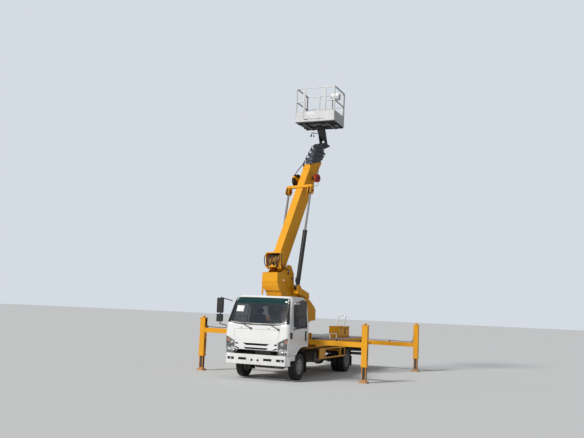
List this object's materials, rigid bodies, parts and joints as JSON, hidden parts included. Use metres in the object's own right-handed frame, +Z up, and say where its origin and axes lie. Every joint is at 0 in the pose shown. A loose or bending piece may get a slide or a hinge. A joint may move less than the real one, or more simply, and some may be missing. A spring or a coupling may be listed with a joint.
{
  "type": "truck-mounted telescopic work platform",
  "caption": "Forward-control light truck with a slewing telescopic boom raised steeply, a work basket, a flat deck and outriggers set down on their pads.",
  "frame": {"origin": "on the ground under the middle of the truck's length and width", "axes": "+Z up, +X to the truck's left, +Y rearwards"},
  "size_m": [6.16, 7.73, 9.6673],
  "materials": {
    "cab_paint": "gloss white coachwork paint",
    "lift_paint": "gloss yellow-orange paint",
    "dark_paint": "satin dark grey paint",
    "black_paint": "satin black chassis paint",
    "tyre": "worn black rubber",
    "rim_paint": "silver painted steel",
    "chrome": "hard chrome",
    "aluminium": "brushed, dulled",
    "cast": "painted castings",
    "glass": "tinted",
    "black_plastic": "grained",
    "seat_fabric": "woven",
    "lamp_plastic": "clear lenses"
  },
  "bodies": {
    "chassis": {"chassis_frame": "black_paint", "front_axle": "cast", "rear_axle": "cast", "driveline": "cast", "cab_shell": "cab_paint", "cab_glass": "glass", "grille": "black_plastic", "seats": "seat_fabric", "dashboard": "black_plastic", "front_bumper": "cab_paint", "steps_and_mudguards": "black_plastic", "lamps": "lamp_plastic", "outrigger_frame": "lift_paint", "deck": "aluminium", "deck_locker": "lift_paint", "deck_ladder": "aluminium", "deck_rail": "aluminium", "side_tanks": "black_paint", "side_guards": "lift_paint"},
    "knuckle_left": {"knuckle_left": "cast"},
    "wheel_front_left": {"tyre_front_left": "tyre", "rim_front_left": "rim_paint"},
    "wheels_rear_left": {"tyres_rear_left": "tyre", "rims_rear_left": "rim_paint"},
    "door_left": {"door_left": "cab_paint", "door_glass_left": "glass"},
    "knuckle_right": {"knuckle_right": "cast"},
    "wheel_front_right": {"tyre_front_right": "tyre", "rim_front_right": "rim_paint"},
    "wheels_rear_right": {"tyres_rear_right": "tyre", "rims_rear_right": "rim_paint"},
    "door_right": {"door_right": "cab_paint", "door_glass_right": "glass"},
    "turret": {"turret": "lift_paint"},
    "boom": {"boom_section_1": "lift_paint"},
    "boom_2": {"boom_section_2": "dark_paint"},
    "boom_3": {"boom_section_3": "dark_paint"},
    "boom_4": {"boom_section_4": "dark_paint"},
    "boom_5": {"boom_section_5": "black_paint"},
    "barrels": {"luff_barrels": "black_paint"},
    "rods": {"luff_rods": "chrome"},
    "level": {"basket_bracket": "black_paint"},
    "basket": {"basket": "aluminium"},
    "gate": {"basket_gate": "aluminium"},
    "beam_front_left": {"beam_front_left": "lift_paint"},
    "jack_front_left": {"jack_front_left": "lift_paint"},
    "beam_front_right": {"beam_front_right": "lift_paint"},
    "jack_front_right": {"jack_front_right": "lift_paint"},
    "beam_rear_left": {"beam_rear_left": "lift_paint"},
    "jack_rear_left": {"jack_rear_left": "lift_paint"},
    "beam_rear_right": {"beam_rear_right": "lift_paint"},
    "jack_rear_right": {"jack_rear_right": "lift_paint"}
  },
  "joints": [
    {"name": "steer_left", "type": "hinge", "parent": "chassis", "child": "knuckle_left", "pos_m": [0.735, -2.755, 0.391], "axis": [0, 0, 1], "range_deg": [-35, 35]},
    {"name": "wheel_front_left_spin", "type": "hinge", "parent": "knuckle_left", "child": "wheel_front_left", "pos_m": [0.85, -2.755, 0.391], "axis": [1, 0, 0], "continuous": true},
    {"name": "wheels_rear_left_spin", "type": "hinge", "parent": "chassis", "child": "wheels_rear_left", "pos_m": [0.82, 1.42, 0.391], "axis": [1, 0, 0], "continuous": true},
    {"name": "door_left_swing", "type": "hinge", "parent": "chassis", "child": "door_left", "pos_m": [1.024, -3.511, 1.3], "axis": [0, 0, -1], "range_deg": [0, 65]},
    {"name": "steer_right", "type": "hinge", "parent": "chassis", "child": "knuckle_right", "pos_m": [-0.735, -2.755, 0.391], "axis": [0, 0, 1], "range_deg": [-35, 35]},
    {"name": "wheel_front_right_spin", "type": "hinge", "parent": "knuckle_right", "child": "wheel_front_right", "pos_m": [-0.85, -2.755, 0.391], "axis": [1, 0, 0], "continuous": true},
    {"name": "wheels_rear_right_spin", "type": "hinge", "parent": "chassis", "child": "wheels_rear_right", "pos_m": [-0.82, 1.42, 0.391], "axis": [1, 0, 0], "continuous": true},
    {"name": "door_right_swing", "type": "hinge", "parent": "chassis", "child": "door_right", "pos_m": [-1.024, -3.511, 1.3], "axis": [0, 0, 1], "range_deg": [0, 65]},
    {"name": "turret_slew", "type": "hinge", "parent": "chassis", "child": "turret", "pos_m": [0, -1.055, 1.4], "axis": [0, 0, 1], "range_deg": [-165, 195]},
    {"name": "boom_luff", "type": "hinge", "parent": "turret", "child": "boom", "pos_m": [-0.20188, -1.80842, 3.28], "axis": [0.9659, -0.2588, 0], "range_deg": [-65, 13]},
    {"name": "telescope_2", "type": "slide", "parent": "boom", "child": "boom_2", "axis": [0.1094, 0.4082, 0.9063], "range_m": [0, 3.3]},
    {"name": "telescope_3", "type": "slide", "parent": "boom_2", "child": "boom_3", "axis": [0.1094, 0.4082, 0.9063], "range_m": [0, 3.3]},
    {"name": "telescope_4", "type": "slide", "parent": "boom_3", "child": "boom_4", "axis": [0.1094, 0.4082, 0.9063], "range_m": [0, 3.3]},
    {"name": "telescope_5", "type": "slide", "parent": "boom_4", "child": "boom_5", "axis": [0.1094, 0.4082, 0.9063], "range_m": [0, 3.3]},
    {"name": "luff_barrel", "type": "hinge", "parent": "turret", "child": "barrels", "pos_m": [-0.11906, -1.49933, 2.768], "axis": [0.9659, -0.2588, 0], "range_deg": [-61, 13]},
    {"name": "luff_rod", "type": "slide", "parent": "barrels", "child": "rods", "axis": [0.0416, 0.1553, 0.987], "range_m": [-0.6, 0.13]},
    {"name": "basket_level", "type": "hinge", "parent": "boom_5", "child": "level", "pos_m": [0.34065, 0.21634, 7.77529], "axis": [0.9659, -0.2588, 0], "range_deg": [-13, 65]},
    {"name": "basket_turn", "type": "hinge", "parent": "level", "child": "basket", "pos_m": [0.27077, -0.04446, 8.46729], "axis": [0, 0, 1], "range_deg": [-105, 75]},
    {"name": "basket_gate_swing", "type": "hinge", "parent": "basket", "child": "gate", "pos_m": [0.60477, -0.52646, 9.06729], "axis": [0, 0, -1], "range_deg": [0, 90]},
    {"name": "beam_front_left_slide", "type": "slide", "parent": "chassis", "child": "beam_front_left", "axis": [-1, 0, 0], "range_m": [0, 1.64]},
    {"name": "jack_front_left_lift", "type": "slide", "parent": "beam_front_left", "child": "jack_front_left", "axis": [0, 0, 1], "range_m": [0, 0.4]},
    {"name": "beam_front_right_slide", "type": "slide", "parent": "chassis", "child": "beam_front_right", "axis": [1, 0, 0], "range_m": [0, 1.64]},
    {"name": "jack_front_right_lift", "type": "slide", "parent": "beam_front_right", "child": "jack_front_right", "axis": [0, 0, 1], "range_m": [0, 0.4]},
    {"name": "beam_rear_left_slide", "type": "slide", "parent": "chassis", "child": "beam_rear_left", "axis": [-1, 0, 0], "range_m": [0, 1.85]},
    {"name": "jack_rear_left_lift", "type": "slide", "parent": "beam_rear_left", "child": "jack_rear_left", "axis": [0, 0, 1], "range_m": [0, 0.4]},
    {"name": "beam_rear_right_slide", "type": "slide", "parent": "chassis", "child": "beam_rear_right", "axis": [1, 0, 0], "range_m": [0, 1.85]},
    {"name": "jack_rear_right_lift", "type": "slide", "parent": "beam_rear_right", "child": "jack_rear_right", "axis": [0, 0, 1], "range_m": [0, 0.4]}
  ],
  "couplings": [
    {"joint": "steer_right", "follows": "steer_left", "ratio": 1},
    {"joint": "telescope_3", "follows": "telescope_2", "ratio": 1},
    {"joint": "telescope_4", "follows": "telescope_2", "ratio": 1},
    {"joint": "telescope_5", "follows": "telescope_2", "ratio": 1},
    {"joint": "luff_barrel", "follows": "boom_luff", "ratio": 0.9202},
    {"joint": "luff_rod", "follows": "boom_luff", "m_per_rad": 0.51597},
    {"joint": "basket_level", "follows": "boom_luff", "ratio": -1}
  ]
}
